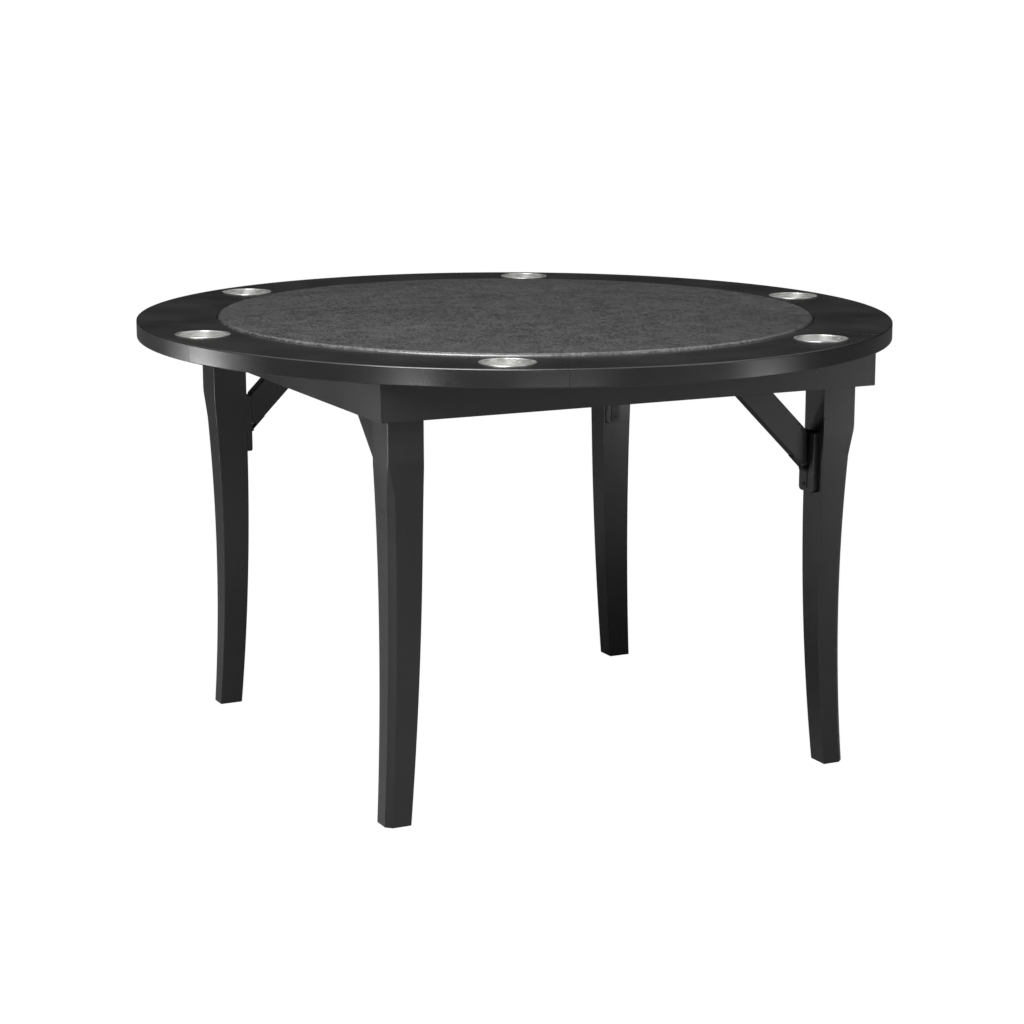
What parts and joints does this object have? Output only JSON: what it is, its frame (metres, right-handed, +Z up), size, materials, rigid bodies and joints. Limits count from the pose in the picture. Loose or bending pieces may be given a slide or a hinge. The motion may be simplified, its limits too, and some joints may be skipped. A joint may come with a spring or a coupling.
{
  "type": "folding round gaming table",
  "caption": "Round gaming table with a padded playing surface, a segmented wooden rim with steel cup holders, a square apron and folding sabre legs with braces.",
  "frame": {"origin": "on the floor below the middle of the table top", "axes": "+Z up; -Y is the front board of the apron; +X to the right of it"},
  "size_m": [1.32, 1.32, 0.7645],
  "materials": {
    "lacquered_wood": "black satin lacquer",
    "faux_leather": "charcoal, fine grain",
    "stainless_steel": "spun and brushed",
    "hinge_steel": "zinc plated",
    "stained_plywood": "black stain",
    "foam": "open-cell foam",
    "nylon": "moulded"
  },
  "bodies": {
    "table_top": {"top_panel": "stained_plywood", "pad_board": "stained_plywood", "pad_foam": "foam", "pad_cover": "faux_leather", "rim_segment_1": "lacquered_wood", "cup_holder_1": "stainless_steel", "rim_segment_2": "lacquered_wood", "cup_holder_2": "stainless_steel", "rim_segment_3": "lacquered_wood", "cup_holder_3": "stainless_steel", "rim_segment_4": "lacquered_wood", "cup_holder_4": "stainless_steel", "rim_segment_5": "lacquered_wood", "cup_holder_5": "stainless_steel", "rim_segment_6": "lacquered_wood", "cup_holder_6": "stainless_steel", "apron_front_left": "lacquered_wood", "leg_block_front_left": "lacquered_wood", "brace_keeper_front_left": "hinge_steel", "leg_hinge_top_leaf_front_left": "hinge_steel", "apron_front_right": "lacquered_wood", "leg_block_front_right": "lacquered_wood", "brace_keeper_front_right": "hinge_steel", "leg_hinge_top_leaf_front_right": "hinge_steel", "apron_back_right": "lacquered_wood", "leg_block_back_right": "lacquered_wood", "brace_keeper_back_right": "hinge_steel", "leg_hinge_top_leaf_back_right": "hinge_steel", "apron_back_left": "lacquered_wood", "leg_block_back_left": "lacquered_wood", "brace_keeper_back_left": "hinge_steel", "leg_hinge_top_leaf_back_left": "hinge_steel"},
    "leg_assembly_front_left": {"leg_front_left": "lacquered_wood", "leg_cleat_front_left": "lacquered_wood", "leg_hinge_leaf_front_left": "hinge_steel", "foot_glide_front_left": "nylon", "brace_hinge_cleat_leaf_front_left": "hinge_steel"},
    "brace_assembly_front_left": {"brace_front_left": "lacquered_wood", "brace_hinge_leaf_front_left": "hinge_steel"},
    "leg_assembly_front_right": {"leg_front_right": "lacquered_wood", "leg_cleat_front_right": "lacquered_wood", "leg_hinge_leaf_front_right": "hinge_steel", "foot_glide_front_right": "nylon", "brace_hinge_cleat_leaf_front_right": "hinge_steel"},
    "brace_assembly_front_right": {"brace_front_right": "lacquered_wood", "brace_hinge_leaf_front_right": "hinge_steel"},
    "leg_assembly_back_right": {"leg_back_right": "lacquered_wood", "leg_cleat_back_right": "lacquered_wood", "leg_hinge_leaf_back_right": "hinge_steel", "foot_glide_back_right": "nylon", "brace_hinge_cleat_leaf_back_right": "hinge_steel"},
    "brace_assembly_back_right": {"brace_back_right": "lacquered_wood", "brace_hinge_leaf_back_right": "hinge_steel"},
    "leg_assembly_back_left": {"leg_back_left": "lacquered_wood", "leg_cleat_back_left": "lacquered_wood", "leg_hinge_leaf_back_left": "hinge_steel", "foot_glide_back_left": "nylon", "brace_hinge_cleat_leaf_back_left": "hinge_steel"},
    "brace_assembly_back_left": {"brace_back_left": "lacquered_wood", "brace_hinge_leaf_back_left": "hinge_steel"}
  },
  "joints": [
    {"name": "leg_fold_front_left", "type": "hinge", "parent": "table_top", "child": "leg_assembly_front_left", "pos_m": [-0.403, -0.3654, 0.6705], "axis": [1, 0, 0], "range_deg": [0, 90]},
    {"name": "brace_fold_front_left", "type": "hinge", "parent": "leg_assembly_front_left", "child": "brace_assembly_front_left", "pos_m": [-0.391, -0.3556, 0.52202], "axis": [1, 0, 0], "range_deg": [-135, 0]},
    {"name": "leg_fold_front_right", "type": "hinge", "parent": "table_top", "child": "leg_assembly_front_right", "pos_m": [0.3654, -0.403, 0.6705], "axis": [0, 1, 0], "range_deg": [0, 90]},
    {"name": "brace_fold_front_right", "type": "hinge", "parent": "leg_assembly_front_right", "child": "brace_assembly_front_right", "pos_m": [0.3556, -0.391, 0.52202], "axis": [0, 1, 0], "range_deg": [-135, 0]},
    {"name": "leg_fold_back_right", "type": "hinge", "parent": "table_top", "child": "leg_assembly_back_right", "pos_m": [0.403, 0.3654, 0.6705], "axis": [-1, 0, 0], "range_deg": [0, 90]},
    {"name": "brace_fold_back_right", "type": "hinge", "parent": "leg_assembly_back_right", "child": "brace_assembly_back_right", "pos_m": [0.391, 0.3556, 0.52202], "axis": [-1, 0, 0], "range_deg": [-135, 0]},
    {"name": "leg_fold_back_left", "type": "hinge", "parent": "table_top", "child": "leg_assembly_back_left", "pos_m": [-0.3654, 0.403, 0.6705], "axis": [0, -1, 0], "range_deg": [0, 90]},
    {"name": "brace_fold_back_left", "type": "hinge", "parent": "leg_assembly_back_left", "child": "brace_assembly_back_left", "pos_m": [-0.3556, 0.391, 0.52202], "axis": [0, -1, 0], "range_deg": [-135, 0]}
  ],
  "couplings": [
    {"joint": "brace_fold_front_left", "follows": "leg_fold_front_left", "ratio": -1.5},
    {"joint": "brace_fold_front_right", "follows": "leg_fold_front_right", "ratio": -1.5},
    {"joint": "brace_fold_back_right", "follows": "leg_fold_back_right", "ratio": -1.5},
    {"joint": "brace_fold_back_left", "follows": "leg_fold_back_left", "ratio": -1.5}
  ]
}
